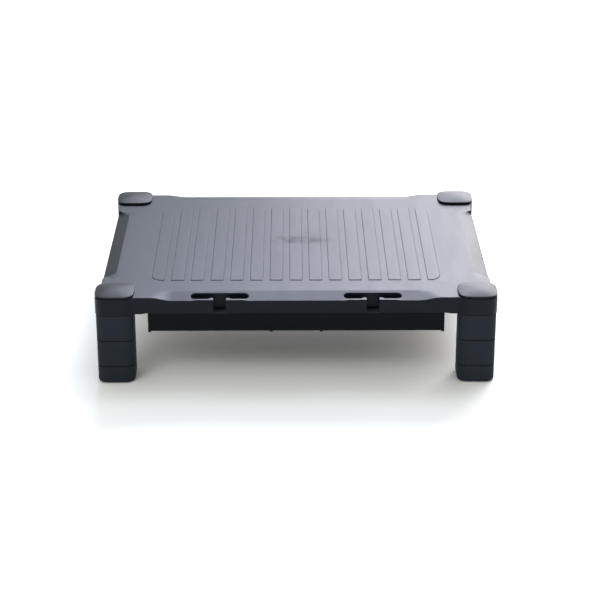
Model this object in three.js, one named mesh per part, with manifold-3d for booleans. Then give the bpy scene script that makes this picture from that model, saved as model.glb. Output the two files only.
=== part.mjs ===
// Monitor riser stand: a hollow moulded platform with a slatted deck, four legs stacked from
// separate modules, and a shallow drawer that slides out from under the front edge.
// Units are millimetres. +X is the stand's right, +Y its back and +Z up. The origin is on the
// floor, at the middle of the footprint.

import * as THREE from 'three';
import { mergeVertices } from 'three/addons/utils/BufferGeometryUtils.js';
import Module from 'manifold-3d';

const wasm = await Module();
wasm.setup();

// Heights above the floor.
const FOOT_HEIGHT = 20;
const MODULE_HEIGHT = 30;
const COLLAR_BOTTOM = FOOT_HEIGHT + 2 * MODULE_HEIGHT;
const DECK_TOP = 99;
const SKIRT_BOTTOM = COLLAR_BOTTOM + 1;
const PLATE_UNDERSIDE = DECK_TOP - 3;
const RIM_UNDERSIDE = 92.3;

// Plan of the legs, towers and caps: the cap is the widest, and sets the overall 433 by 335.
const LEG_X = 195.5;
const LEG_Y = 146.5;
const CAP_SIZE = 42;
const TOWER_SIZE = 41.4;
const MODULE_SIZE = 40.2;
const TOWER_RADIUS = 10.5;
const MODULE_RADIUS = 9.5;
const GAP = 0.3;

// Skirt faces, set back from the towers, and how far from the corner each setback blends in.
const SKIRT_X = 212.4;
const SKIRT_Y = 162.3;
const FRONT_BLEND = { from: 172.5, to: 185.5 };
const SIDE_BLEND = { from: 124, to: 137 };
const WALL = 2.5;
const LOW_SKIRT_FROM = 164;

// Sockets under the towers and the spigots that enter them.
const SOCKET_SIZE = 34.8;
const SPIGOT_SIZE = 34;
const SPIGOT_HEIGHT = 12;
const SPIGOT_WALL = 2;
const SHOULDER = 2;
const SOCKET_RADIUS = 6.5;
const SPIGOT_RADIUS = 6.1;
const PLUG_HOLE = 30;
const PLUG_SIZE = 29.2;
const PLUG_BOTTOM = 93.3;
const PLUG_RADIUS = 5;
const PLUG_WALL = 2;

// Caps: a thin upright rim under a pillow-shaped top.
const CAP_BOTTOM = DECK_TOP + 0.5;
const CAP_RIM = 101.5;
const CAP_CROWN = 104.2;
const CAP_PLAN_POWER = 3.6;
const CAP_DOME_POWER = 2.6;

// Deck slats.
const SLAT_COUNT = 15;
const SLAT_PITCH = 21.62;
const SLAT_WIDTH = 14.4;
const SLAT_HALF_LENGTH = 113.2;
const SLAT_HEIGHT = 0.5;
const SLAT_RADIUS = 1.2;
const FIELD_RADIUS = 13;

// Planed-down edges of the deck: where each slope starts, and its drop at the skirt.
const FRONT_EDGE = { start: 141.6, drop: 3.7 };
const BACK_EDGE = { start: 144.6, drop: 2.6 };
const SIDE_EDGE = { start: 198.3, drop: 3.5 };
const LONG_EDGE_FULL = 133;
const LONG_EDGE_END = 156;
const SIDE_EDGE_INNER = 91;
const SIDE_EDGE_OUTER = 104;
const CUTTER_REACH = 8;
const CUTTER_HEADROOM = 5;

// T-shaped slots through the front edge.
const SLOT_X = 82.3;
const SLOT_LENGTH = 62;
const SLOT_WIDTH = 10.6;
const SLOT_Y = -152.5;
const STEM_WIDTH = 13;
const HOOK_RADIUS = 3;

// Ribs under the plate.
const RIB = 2;
const RIB_BOTTOM = 91;
const LONG_RIB_Y = [-68, 0, 68];
const CROSS_RIB_X = [-118, -40, 40, 118];
const DEEP_RIB_Y = 146;
const DEEP_RIB_BOTTOM = 81.5;

// Runners under the platform, their bosses and their screws.
const RUNNER_OUTER_X = 159.4;
const RUNNER_WALL = 2;
const RUNNER_LEDGE_INNER_X = 152.2;
const RUNNER_FLANGE_INNER_X = 143;
const RUNNER_TOP = 88;
const RUNNER_LEDGE_TOP = 76.2;
const RUNNER_FRONT = -143.5;
const SCREW_X = 149.5;
const SCREW_Y = [-118, -18, 82];
const BOSS_RADIUS = 3.6;
const PILOT_RADIUS = 1.5;
const PILOT_TOP = 97;
const SHANK_RADIUS = 1.2;
const SHANK_TOP = 96.2;
const SCREW_HEAD_RADIUS = 3;
const SCREW_HEAD_HEIGHT = 2;
const CLEARANCE_HOLE_RADIUS = 1.7;

// Drawer.
const DRAWER_TRAVEL = 190;
const DRAWER_FRONT_X = 160;
const DRAWER_FRONT = -157;
const DRAWER_FRONT_WALL = 2.5;
const DRAWER_SHELF = 2;
const DRAWER_SHELF_BACK = -142;
const DRAWER_BOTTOM = 57.8;
const DRAWER_TOP = 79.5;
const TRAY_X = 151.6;
const TRAY_BACK = 108;
const TRAY_BOTTOM = 58.8;
const TRAY_FLOOR = 61;
const TRAY_TOP = 78.5;
const TRAY_WALL = 2;
const LIP_X = 156.6;
const LIP_THICKNESS = 2;
const EAR_FRONT = 103;
const EAR_LENGTH = 3;
const EAR_TOP = 84;
const STOP_LENGTH = 3;
const STOP_BOTTOM = 80.5;
const NUB_X = 27;
const NUB_WIDTH = 3;
const NUB_DROP = 1;

// Feet and their rubber pads.
const PAD_SIZE = 30;
const PAD_RADIUS = 4.7;
const PAD_TOP = 2.2;
const FOOT_BOTTOM = 0.8;
const FOOT_FILLET = 2.5;
const FOOT_FLOOR = 5;

// How finely curves are cut, how far parts that merge overlap, and how far cutters overshoot.
const BLEND_STEPS = 5;
const FADE_STEPS = 6;
const CAP_SIDES = 24;
const CURVE_SEGMENTS = 2;
const OVERLAP = 0.5;
const OVERSHOOT = 1;
const FAR = 400;

const CHARCOAL = 0x24282c;
const DARK = 0x15171a;
const RUBBER = 0x101112;
const STEEL = 0x9a9da1;

// ---- Shared helpers ----------------------------------------------------------------------

function solid(geometry) {
  const bare = geometry.clone();
  bare.deleteAttribute('normal');
  bare.deleteAttribute('uv');
  const merged = mergeVertices(bare, 1e-4);
  return new wasm.Manifold(new wasm.Mesh({
    numProp: 3,
    vertProperties: new Float32Array(merged.attributes.position.array),
    triVerts: new Uint32Array(merged.index.array),
  }));
}

function geometryOf(manifold) {
  const mesh = manifold.getMesh();
  const geometry = new THREE.BufferGeometry();
  geometry.setAttribute('position', new THREE.BufferAttribute(mesh.vertProperties, 3));
  geometry.setIndex(new THREE.BufferAttribute(mesh.triVerts, 1));
  geometry.computeVertexNormals();
  return geometry;
}

function block(x0, x1, y0, y1, z0, z1) {
  const geometry = new THREE.BoxGeometry(x1 - x0, y1 - y0, z1 - z0);
  geometry.translate((x0 + x1) / 2, (y0 + y1) / 2, (z0 + z1) / 2);
  return solid(geometry);
}

function slab(shape, z0, z1) {
  const geometry = new THREE.ExtrudeGeometry(shape, {
    depth: z1 - z0,
    bevelEnabled: false,
    curveSegments: CURVE_SEGMENTS,
  });
  geometry.translate(0, 0, z0);
  return solid(geometry);
}

function post(x, y, radius, z0, z1, sides = 12) {
  const geometry = new THREE.CylinderGeometry(radius, radius, z1 - z0, sides);
  geometry.rotateX(Math.PI / 2);
  geometry.translate(x, y, (z0 + z1) / 2);
  return solid(geometry);
}

// A rectangle with one corner radius on its left side and one on its right.
function roundedRectangle(width, depth, radius, x = 0, y = 0, rightRadius = radius) {
  const [x0, x1, y0, y1] = [x - width / 2, x + width / 2, y - depth / 2, y + depth / 2];
  const shape = new THREE.Shape();
  shape.moveTo(x0 + radius, y0);
  shape.lineTo(x1 - rightRadius, y0);
  shape.absarc(x1 - rightRadius, y0 + rightRadius, rightRadius, -Math.PI / 2, 0);
  shape.lineTo(x1, y1 - rightRadius);
  shape.absarc(x1 - rightRadius, y1 - rightRadius, rightRadius, 0, Math.PI / 2);
  shape.lineTo(x0 + radius, y1);
  shape.absarc(x0 + radius, y1 - radius, radius, Math.PI / 2, Math.PI);
  shape.lineTo(x0, y0 + radius);
  shape.absarc(x0 + radius, y0 + radius, radius, Math.PI, 1.5 * Math.PI);
  return shape;
}

function square(size, radius, x = 0, y = 0) {
  return roundedRectangle(size, size, radius, x, y);
}

function smooth(t) {
  return (1 - Math.cos(Math.PI * THREE.MathUtils.clamp(t, 0, 1))) / 2;
}

// A ring of points around a square with bulging sides and very round corners.
function squircle(size, z) {
  const points = [];
  for (let i = 0; i < CAP_SIDES; i += 1) {
    const angle = (2 * Math.PI * (i + 0.5)) / CAP_SIDES;
    const [c, s] = [Math.cos(angle), Math.sin(angle)];
    const stretch = (Math.abs(c) ** CAP_PLAN_POWER + Math.abs(s) ** CAP_PLAN_POWER)
      ** (-1 / CAP_PLAN_POWER);
    points.push([(size / 2) * stretch * c, (size / 2) * stretch * s, z]);
  }
  return points;
}

// Joins a stack of rings, lowest first, and closes both ends with a middle point.
function loft(rings, topZ) {
  const count = rings[0].length;
  const positions = [...rings.flat(2), 0, 0, rings[0][0][2], 0, 0, topZ];
  const [bottom, top] = [rings.length * count, rings.length * count + 1];
  const last = (rings.length - 1) * count;
  const index = [];
  for (let i = 0; i < count; i += 1) {
    const j = (i + 1) % count;
    index.push(bottom, j, i, top, last + i, last + j);
    for (let row = 0; row < last; row += count) {
      index.push(row + i, row + j, row + count + j, row + i, row + count + j, row + count + i);
    }
  }
  const geometry = new THREE.BufferGeometry();
  geometry.setAttribute('position', new THREE.Float32BufferAttribute(positions, 3));
  geometry.setIndex(index);
  return solid(geometry);
}

const corners = [
  { name: 'front_left', x: -LEG_X, y: -LEG_Y },
  { name: 'front_right', x: LEG_X, y: -LEG_Y },
  { name: 'back_left', x: -LEG_X, y: LEG_Y },
  { name: 'back_right', x: LEG_X, y: LEG_Y },
];

function atCorners(make) {
  return corners.map(({ x, y }) => make(x, y)).reduce((sum, piece) => sum.add(piece));
}

const group = new THREE.Group();

function addPiece(name, geometry, color, roughness, metalness = 0) {
  const material = new THREE.MeshStandardMaterial({ color, roughness, metalness });
  const mesh = new THREE.Mesh(geometry, material);
  mesh.name = name;
  group.add(mesh);
  return mesh;
}

// ---- Platform ----------------------------------------------------------------------------

// One quarter of the platform's plan, from the middle of its back edge to the middle of its
// right edge: the skirt swells out to the tower, turns its corner and falls back again.
function quarterOutline() {
  const towerX = LEG_X + TOWER_SIZE / 2;
  const towerY = LEG_Y + TOWER_SIZE / 2;
  const points = [new THREE.Vector2(0, SKIRT_Y)];
  for (let i = 0; i <= BLEND_STEPS; i += 1) {
    const t = i / BLEND_STEPS;
    const x = THREE.MathUtils.lerp(FRONT_BLEND.from, FRONT_BLEND.to, t);
    points.push(new THREE.Vector2(x, THREE.MathUtils.lerp(SKIRT_Y, towerY, smooth(t))));
  }
  for (let i = 0; i <= BLEND_STEPS; i += 1) {
    const angle = (Math.PI / 2) * (1 - i / BLEND_STEPS);
    points.push(new THREE.Vector2(
      towerX - TOWER_RADIUS * (1 - Math.cos(angle)),
      towerY - TOWER_RADIUS * (1 - Math.sin(angle)),
    ));
  }
  for (let i = 0; i <= BLEND_STEPS; i += 1) {
    const t = i / BLEND_STEPS;
    const y = THREE.MathUtils.lerp(SIDE_BLEND.to, SIDE_BLEND.from, t);
    points.push(new THREE.Vector2(THREE.MathUtils.lerp(towerX, SKIRT_X, smooth(t)), y));
  }
  points.push(new THREE.Vector2(SKIRT_X, 0));
  return points;
}

function platformOutline() {
  const quarter = quarterOutline();
  const mirrored = (sx, sy) => quarter.map((p) => new THREE.Vector2(sx * p.x, sy * p.y));
  const loop = [
    ...mirrored(1, 1),
    ...mirrored(1, -1).reverse().slice(1),
    ...mirrored(-1, -1).slice(1),
    ...mirrored(-1, 1).reverse().slice(1, -1),
  ];
  return new THREE.Shape(loop);
}

function undersideHollow() {
  const below = COLLAR_BOTTOM - OVERSHOOT;
  const rim = roundedRectangle(2 * (SKIRT_X - WALL), 2 * (SKIRT_Y - WALL), 4);
  const middle = roundedRectangle(2 * (SIDE_EDGE.start - 2), 2 * (FRONT_EDGE.start - 1), 4);
  const hollow = slab(rim, below, RIM_UNDERSIDE).add(slab(middle, below, PLATE_UNDERSIDE));
  const towers = atCorners((x, y) => (
    slab(square(TOWER_SIZE, 3, x, y), below - OVERSHOOT, DECK_TOP)
  ));
  return hollow.subtract(towers);
}

function towerHoles() {
  return atCorners((x, y) => (
    slab(square(SOCKET_SIZE, SOCKET_RADIUS, x, y), COLLAR_BOTTOM - OVERSHOOT, PLATE_UNDERSIDE)
      .add(slab(
        square(PLUG_HOLE, PLUG_RADIUS, x, y),
        PLATE_UNDERSIDE - OVERSHOOT,
        DECK_TOP + OVERSHOOT,
      ))
  ));
}

// Trims the skirts a little higher than the collars.
function skirtTrim() {
  const low = COLLAR_BOTTOM - OVERSHOOT;
  const wide = block(-LOW_SKIRT_FROM, LOW_SKIRT_FROM, -FAR, FAR, low, SKIRT_BOTTOM);
  const deep = block(-FAR, FAR, -SIDE_BLEND.from, SIDE_BLEND.from, low, SKIRT_BOTTOM);
  return wide.add(deep);
}

// A long wedge that planes the front edge of the deck down to a slope, fading out at its ends.
function longEdgeCutter({ start, drop }) {
  const stations = [];
  for (let i = 0; i <= FADE_STEPS; i += 1) {
    stations.push(THREE.MathUtils.lerp(LONG_EDGE_END, LONG_EDGE_FULL, i / FADE_STEPS));
  }
  const xs = [...stations.map((x) => -x), ...stations.reverse()];
  const run = SKIRT_Y - start;
  const geometry = new THREE.BoxGeometry(xs.length - 1, 2, 2, xs.length - 1, 1, 1);
  const position = geometry.attributes.position;
  for (let i = 0; i < position.count; i += 1) {
    const x = xs[Math.round(position.getX(i) + (xs.length - 1) / 2)];
    const outer = position.getY(i) < 0;
    const top = position.getZ(i) > 0;
    const fade = (LONG_EDGE_END - Math.abs(x)) / (LONG_EDGE_END - LONG_EDGE_FULL);
    const slope = (drop / run) * smooth(fade);
    const fall = outer ? slope * (run + CUTTER_REACH) : 0;
    const y = outer ? -(SKIRT_Y + CUTTER_REACH) : -start;
    position.setXYZ(i, x, y, DECK_TOP + (top ? CUTTER_HEADROOM : -fall));
  }
  return solid(geometry);
}

// The same for the right edge: one flat slope whose two ends are cut off at an angle.
function sideEdgeCutter({ start, drop }) {
  const run = SKIRT_X - start;
  const geometry = new THREE.BoxGeometry(2, 2, 2);
  const position = geometry.attributes.position;
  const splay = (SIDE_EDGE_OUTER - SIDE_EDGE_INNER) / run;
  for (let i = 0; i < position.count; i += 1) {
    const outer = position.getX(i) > 0;
    const top = position.getZ(i) > 0;
    const half = outer ? SIDE_EDGE_OUTER + splay * CUTTER_REACH : SIDE_EDGE_INNER;
    const fall = outer ? (drop / run) * (run + CUTTER_REACH) : 0;
    const x = outer ? SKIRT_X + CUTTER_REACH : start;
    const z = DECK_TOP + (top ? CUTTER_HEADROOM : -fall);
    position.setXYZ(i, x, Math.sign(position.getY(i)) * half, z);
  }
  return solid(geometry);
}

function edgeCutters() {
  const front = longEdgeCutter(FRONT_EDGE);
  const back = longEdgeCutter(BACK_EDGE).mirror([0, 1, 0]);
  const right = sideEdgeCutter(SIDE_EDGE);
  return front.add(back).add(right).add(right.mirror([1, 0, 0]));
}

// A T seen from above: a round-ended slot whose stem leaves through the front edge. The two
// tongues in front of it end in small round hooks beside the stem.
function teeSlot(x) {
  const low = COLLAR_BOTTOM - OVERSHOOT;
  const high = DECK_TOP + OVERSHOOT;
  const slotFront = SLOT_Y - SLOT_WIDTH / 2;
  const arm = roundedRectangle(SLOT_LENGTH, SLOT_WIDTH, SLOT_WIDTH / 2 - 0.01, x, SLOT_Y);
  const hook = STEM_WIDTH / 2 + HOOK_RADIUS;
  const stem = block(x - STEM_WIDTH / 2, x + STEM_WIDTH / 2, -FAR, SLOT_Y, low, high);
  return slab(arm, RIM_UNDERSIDE - 5, high)
    .subtract(post(x - hook, slotFront, HOOK_RADIUS, low, high + OVERSHOOT))
    .subtract(post(x + hook, slotFront, HOOK_RADIUS, low, high + OVERSHOOT))
    .add(stem);
}

function slats() {
  const first = (-(SLAT_COUNT - 1) / 2) * SLAT_PITCH;
  const pieces = [];
  for (let i = 0; i < SLAT_COUNT; i += 1) {
    const leftRadius = i === 0 ? FIELD_RADIUS : SLAT_RADIUS;
    const rightRadius = i === SLAT_COUNT - 1 ? FIELD_RADIUS : SLAT_RADIUS;
    const x = first + i * SLAT_PITCH;
    const length = 2 * SLAT_HALF_LENGTH;
    const plan = roundedRectangle(SLAT_WIDTH, length, leftRadius, x, 0, rightRadius);
    pieces.push(slab(plan, DECK_TOP - OVERLAP, DECK_TOP + SLAT_HEIGHT));
  }
  return pieces.reduce((sum, piece) => sum.add(piece));
}

function ribs() {
  const spanX = LEG_X - TOWER_SIZE / 2 + OVERLAP;
  const spanY = SKIRT_Y - WALL + OVERLAP;
  const edgeX = SKIRT_X - WALL + OVERLAP;
  const top = PLATE_UNDERSIDE + OVERLAP;
  const pieces = [-DEEP_RIB_Y, DEEP_RIB_Y].map((y) => (
    block(-spanX, spanX, y - RIB / 2, y + RIB / 2, DEEP_RIB_BOTTOM, top)
  ));
  for (const y of LONG_RIB_Y) {
    pieces.push(block(-edgeX, edgeX, y - RIB / 2, y + RIB / 2, RIB_BOTTOM, top));
  }
  for (const x of CROSS_RIB_X) {
    pieces.push(block(x - RIB / 2, x + RIB / 2, -DEEP_RIB_Y, spanY, RIB_BOTTOM, top));
  }
  return pieces.reduce((sum, piece) => sum.add(piece));
}

function screwPlaces() {
  return [-1, 1].flatMap((side) => SCREW_Y.map((y) => ({ side, x: side * SCREW_X, y })));
}

function bosses() {
  return screwPlaces()
    .map(({ x, y }) => post(x, y, BOSS_RADIUS, RUNNER_TOP + GAP, PLATE_UNDERSIDE + OVERLAP))
    .reduce((sum, piece) => sum.add(piece));
}

function pilotHoles() {
  return screwPlaces()
    .map(({ x, y }) => post(x, y, PILOT_RADIUS, RUNNER_TOP, PILOT_TOP, 8))
    .reduce((sum, piece) => sum.add(piece));
}

function makePlatform() {
  const platform = slab(platformOutline(), COLLAR_BOTTOM, DECK_TOP)
    .subtract(undersideHollow())
    .subtract(towerHoles())
    .subtract(skirtTrim())
    .add(ribs())
    .add(bosses())
    .subtract(pilotHoles())
    .subtract(edgeCutters())
    .add(slats())
    .subtract(teeSlot(-SLOT_X))
    .subtract(teeSlot(SLOT_X));
  addPiece('platform', geometryOf(platform), CHARCOAL, 0.5);
}

// ---- Corner caps -------------------------------------------------------------------------

// The pillow: a thin upright rim, then rings that shrink as they climb to the crown.
function capLid() {
  const rings = [squircle(CAP_SIZE, CAP_BOTTOM), squircle(CAP_SIZE, CAP_RIM)];
  for (const scale of [0.93, 0.82, 0.65, 0.4]) {
    const z = CAP_RIM + (CAP_CROWN - CAP_RIM) * (1 - scale ** CAP_DOME_POWER);
    rings.push(squircle(CAP_SIZE * scale, z));
  }
  return loft(rings, CAP_CROWN);
}

// The cap is that lid with a hollow square plug below it.
function makeCap() {
  const plug = slab(square(PLUG_SIZE, PLUG_RADIUS), PLUG_BOTTOM, CAP_BOTTOM + OVERLAP);
  const inside = slab(
    square(PLUG_SIZE - 2 * PLUG_WALL, PLUG_RADIUS - PLUG_WALL),
    PLUG_BOTTOM - OVERSHOOT,
    CAP_BOTTOM,
  );
  return geometryOf(capLid().add(plug).subtract(inside));
}

// ---- Leg modules -------------------------------------------------------------------------

// A square sleeve, open below, with a closed spigot on top that fits the next socket up.
function makeRiser() {
  const top = MODULE_HEIGHT - GAP;
  const spigotTop = top + SPIGOT_HEIGHT;
  const bore = SPIGOT_SIZE - 2 * SPIGOT_WALL;
  const sleeve = slab(square(MODULE_SIZE, MODULE_RADIUS), 0, top);
  const spigot = slab(square(SPIGOT_SIZE, SPIGOT_RADIUS), top - OVERLAP, spigotTop);
  const socket = slab(square(SOCKET_SIZE, SOCKET_RADIUS), -OVERSHOOT, top - SHOULDER);
  const hollow = slab(square(bore, SPIGOT_RADIUS - SPIGOT_WALL), 0, spigotTop - SHOULDER);
  return geometryOf(sleeve.add(spigot).subtract(socket).subtract(hollow));
}

// The foot is closed at the bottom, where a recess takes the rubber pad, and open on top.
function makeFoot() {
  const top = FOOT_HEIGHT - GAP;
  const spigotTop = top + SPIGOT_HEIGHT;
  const bore = SPIGOT_SIZE - 2 * SPIGOT_WALL;
  const rounded = new THREE.ExtrudeGeometry(
    square(MODULE_SIZE - 2 * FOOT_FILLET, MODULE_RADIUS - FOOT_FILLET),
    {
      depth: FOOT_HEIGHT,
      bevelThickness: FOOT_FILLET,
      bevelSize: FOOT_FILLET,
      bevelSegments: 2,
      curveSegments: CURVE_SEGMENTS,
    },
  );
  rounded.translate(0, 0, FOOT_BOTTOM + FOOT_FILLET);
  const sleeve = solid(rounded).intersect(block(-FAR, FAR, -FAR, FAR, 0, top));
  const spigot = slab(square(SPIGOT_SIZE, SPIGOT_RADIUS), top - OVERLAP, spigotTop);
  const hollow = slab(
    square(bore, SPIGOT_RADIUS - SPIGOT_WALL),
    FOOT_FLOOR,
    spigotTop + OVERSHOOT,
  );
  const recess = slab(square(PAD_SIZE + 2 * GAP, PAD_RADIUS + GAP), -OVERSHOOT, PAD_TOP + GAP);
  return geometryOf(sleeve.add(spigot).subtract(hollow).subtract(recess));
}

function makePad() {
  return geometryOf(slab(square(PAD_SIZE, PAD_RADIUS), 0, PAD_TOP));
}

function makeLegs() {
  const cap = makeCap();
  const riser = makeRiser();
  const foot = makeFoot();
  const pad = makePad();
  for (const { name, x, y } of corners) {
    addPiece(`corner_cap_${name}`, cap, CHARCOAL, 0.45).position.set(x, y, 0);
    addPiece(`upper_riser_${name}`, riser, CHARCOAL, 0.5)
      .position.set(x, y, FOOT_HEIGHT + MODULE_HEIGHT);
    addPiece(`lower_riser_${name}`, riser, CHARCOAL, 0.5).position.set(x, y, FOOT_HEIGHT);
    addPiece(`foot_${name}`, foot, CHARCOAL, 0.5).position.set(x, y, 0);
    addPiece(`foot_pad_${name}`, pad, RUBBER, 0.9).position.set(x, y, 0);
  }
}

// ---- Drawer and runners ------------------------------------------------------------------

// A runner is a channel hung from the platform: a flange with three screw holes, a side wall
// and a ledge that carries the drawer's lip. A tab near the front stops the drawer's ears, and
// one at the back stops the closing drawer.
function makeRunner(side) {
  const wallX = RUNNER_OUTER_X - RUNNER_WALL;
  const back = TRAY_BACK + GAP + RUNNER_WALL;
  const ledgeBottom = RUNNER_LEDGE_TOP - RUNNER_WALL;
  const stopBack = EAR_FRONT - DRAWER_TRAVEL - 0.5;
  const flangeBottom = RUNNER_TOP - RUNNER_WALL;
  const holeBottom = flangeBottom - OVERSHOOT;
  const holeTop = RUNNER_TOP + OVERSHOOT;
  const holes = screwPlaces()
    .map(({ x, y }) => post(x, y, CLEARANCE_HOLE_RADIUS, holeBottom, holeTop))
    .reduce((sum, hole) => sum.add(hole));
  const tabInner = TRAY_X + 1;
  const tabOuter = wallX + OVERLAP;
  const span = [RUNNER_FRONT, back];
  const runner = block(wallX, RUNNER_OUTER_X, ...span, ledgeBottom, RUNNER_TOP)
    .add(block(RUNNER_LEDGE_INNER_X, RUNNER_OUTER_X, ...span, ledgeBottom, RUNNER_LEDGE_TOP))
    .add(block(RUNNER_FLANGE_INNER_X, RUNNER_OUTER_X, ...span, flangeBottom, RUNNER_TOP))
    .add(block(tabInner, tabOuter, stopBack - STOP_LENGTH, stopBack, STOP_BOTTOM, RUNNER_TOP))
    .add(block(tabInner, tabOuter, TRAY_BACK + GAP, back, ledgeBottom, RUNNER_TOP));
  const placed = (side > 0 ? runner : runner.mirror([1, 0, 0])).subtract(holes);
  addPiece(`drawer_runner_${side > 0 ? 'right' : 'left'}`, geometryOf(placed), DARK, 0.5);
}

function makeScrews() {
  const headTop = RUNNER_TOP - RUNNER_WALL - GAP;
  const headBottom = headTop - SCREW_HEAD_HEIGHT;
  const profile = [
    new THREE.Vector2(0, headBottom),
    new THREE.Vector2(SCREW_HEAD_RADIUS * 0.7, headBottom),
    new THREE.Vector2(SCREW_HEAD_RADIUS, headTop - 0.6),
    new THREE.Vector2(SCREW_HEAD_RADIUS, headTop),
    new THREE.Vector2(SHANK_RADIUS, headTop),
    new THREE.Vector2(SHANK_RADIUS, SHANK_TOP - 1.5),
    new THREE.Vector2(0, SHANK_TOP),
  ];
  const geometry = new THREE.LatheGeometry(profile, 10);
  geometry.rotateX(Math.PI / 2);
  const screw = geometryOf(solid(geometry));
  const spots = ['front', 'middle', 'back'];
  for (const { side, x, y } of screwPlaces()) {
    const name = `runner_screw_${side > 0 ? 'right' : 'left'}_${spots[SCREW_Y.indexOf(y)]}`;
    addPiece(name, screw, STEEL, 0.35, 1).position.set(x, y, 0);
  }
}

// Both sides of the drawer in turn: the lip that slides on the ledge, and the stop ear.
function trayEdge(side) {
  const xs = (inner, outer) => (side > 0 ? [inner, outer] : [-outer, -inner]);
  const across = xs(TRAY_X - OVERLAP, LIP_X);
  const lipBottom = TRAY_TOP - LIP_THICKNESS;
  const lip = block(...across, DRAWER_FRONT, TRAY_BACK, lipBottom, TRAY_TOP);
  const ear = block(
    ...across, EAR_FRONT, EAR_FRONT + EAR_LENGTH, TRAY_TOP - OVERLAP, EAR_TOP,
  );
  return lip.add(ear);
}

function makeDrawer() {
  const length = TRAY_BACK - DRAWER_FRONT;
  const middle = (TRAY_BACK + DRAWER_FRONT) / 2;
  const frontInside = DRAWER_FRONT + DRAWER_FRONT_WALL;
  const insideLength = TRAY_BACK - TRAY_WALL - frontInside;
  const insideMiddle = (TRAY_BACK - TRAY_WALL + frontInside) / 2;
  const outside = roundedRectangle(2 * TRAY_X, length, 2, 0, middle);
  const inside = roundedRectangle(2 * (TRAY_X - TRAY_WALL), insideLength, 2, 0, insideMiddle);
  const front = block(
    -DRAWER_FRONT_X, DRAWER_FRONT_X, DRAWER_FRONT, frontInside, DRAWER_BOTTOM, DRAWER_TOP,
  );
  const shelf = block(
    -TRAY_X + TRAY_WALL / 2, TRAY_X - TRAY_WALL / 2, DRAWER_FRONT, DRAWER_SHELF_BACK,
    DRAWER_TOP - DRAWER_SHELF, DRAWER_TOP,
  );
  const nubs = [-DRAWER_FRONT_X + NUB_WIDTH / 2, -NUB_X, NUB_X, DRAWER_FRONT_X - NUB_WIDTH / 2]
    .map((x) => block(
      x - NUB_WIDTH / 2, x + NUB_WIDTH / 2, DRAWER_FRONT, frontInside,
      DRAWER_BOTTOM - NUB_DROP, DRAWER_BOTTOM + OVERLAP,
    ))
    .reduce((sum, nub) => sum.add(nub));
  const tray = slab(outside, TRAY_BOTTOM, TRAY_TOP)
    .add(trayEdge(1))
    .add(trayEdge(-1))
    .subtract(slab(inside, TRAY_FLOOR, TRAY_TOP + OVERSHOOT))
    .add(front)
    .add(shelf)
    .add(nubs);
  addPiece('drawer_tray', geometryOf(tray), DARK, 0.5);
}

makePlatform();
makeLegs();
makeRunner(-1);
makeRunner(1);
makeScrews();
makeDrawer();

export default group;
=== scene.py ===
"""Looks of the monitor riser stand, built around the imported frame.

Every piece is modelled in millimetres in the frame's own axes (+X right, +Y back, +Z up) and
scaled to metres when its mesh is made. The driving sizes come from the frame's own nodes.
"""

import math

import bmesh
import bpy
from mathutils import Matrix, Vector
from mathutils.geometry import delaunay_2d_cdt


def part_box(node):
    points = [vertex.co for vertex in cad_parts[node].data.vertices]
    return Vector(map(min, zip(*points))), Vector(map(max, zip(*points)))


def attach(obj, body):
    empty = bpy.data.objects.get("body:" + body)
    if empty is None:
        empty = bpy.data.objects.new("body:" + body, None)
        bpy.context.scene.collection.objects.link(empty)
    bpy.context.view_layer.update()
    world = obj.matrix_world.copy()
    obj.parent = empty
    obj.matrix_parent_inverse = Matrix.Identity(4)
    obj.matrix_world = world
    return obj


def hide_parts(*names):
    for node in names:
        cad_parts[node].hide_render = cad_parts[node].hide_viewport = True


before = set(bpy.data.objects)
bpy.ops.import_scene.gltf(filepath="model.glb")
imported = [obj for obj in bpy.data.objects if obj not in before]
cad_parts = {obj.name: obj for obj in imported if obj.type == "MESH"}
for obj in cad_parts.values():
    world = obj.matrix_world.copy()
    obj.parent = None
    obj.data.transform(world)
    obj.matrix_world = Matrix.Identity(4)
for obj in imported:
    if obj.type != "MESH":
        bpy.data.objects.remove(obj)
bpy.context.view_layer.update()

MM = 0.001


def extent(node):
    """Lowest and highest corner of a frame node, in millimetres."""
    low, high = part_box(node)
    return low / MM, high / MM


# ---- Sizes ---------------------------------------------------------------------------------

CORNERS = {
    "front_left": (-1, -1),
    "front_right": (1, -1),
    "back_left": (-1, 1),
    "back_right": (1, 1),
}

CAP_LOW, CAP_HIGH = extent("corner_cap_front_right")
RISER_LOW, RISER_HIGH = extent("upper_riser_front_right")
FOOT_LOW, FOOT_HIGH = extent("foot_front_right")
PAD_LOW, PAD_HIGH = extent("foot_pad_front_right")
PLATFORM_LOW, PLATFORM_HIGH = extent("platform")
TRAY_LOW, TRAY_HIGH = extent("drawer_tray")
RUNNER_LOW, RUNNER_HIGH = extent("drawer_runner_right")

LEG_X = (RISER_LOW.x + RISER_HIGH.x) / 2
LEG_Y = -(RISER_LOW.y + RISER_HIGH.y) / 2
CAP_SIZE = CAP_HIGH.x - CAP_LOW.x
TOWER_SIZE = 2 * (PLATFORM_HIGH.x - LEG_X)
MODULE_SIZE = RISER_HIGH.x - RISER_LOW.x
TOWER_RADIUS = 10.5
MODULE_RADIUS = 9.5
GAP = 0.3

COLLAR_BOTTOM = PLATFORM_LOW.z
SKIRT_BOTTOM = COLLAR_BOTTOM + 1
SLAT_HEIGHT = 0.5
DECK_TOP = PLATFORM_HIGH.z - SLAT_HEIGHT
PLATE_UNDERSIDE = DECK_TOP - 3
RIM_UNDERSIDE = 92.3
SKIRT_X = 212.4
SKIRT_Y = 162.3
WALL = 2.5
FAR = 400.0

# Where the skirts leave the towers: the blend starts at FROM and ends BLEND further on.
FRONT_BLEND_FROM = 172.5
SIDE_BLEND_FROM = 124.0
BLEND = 13.0

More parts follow.
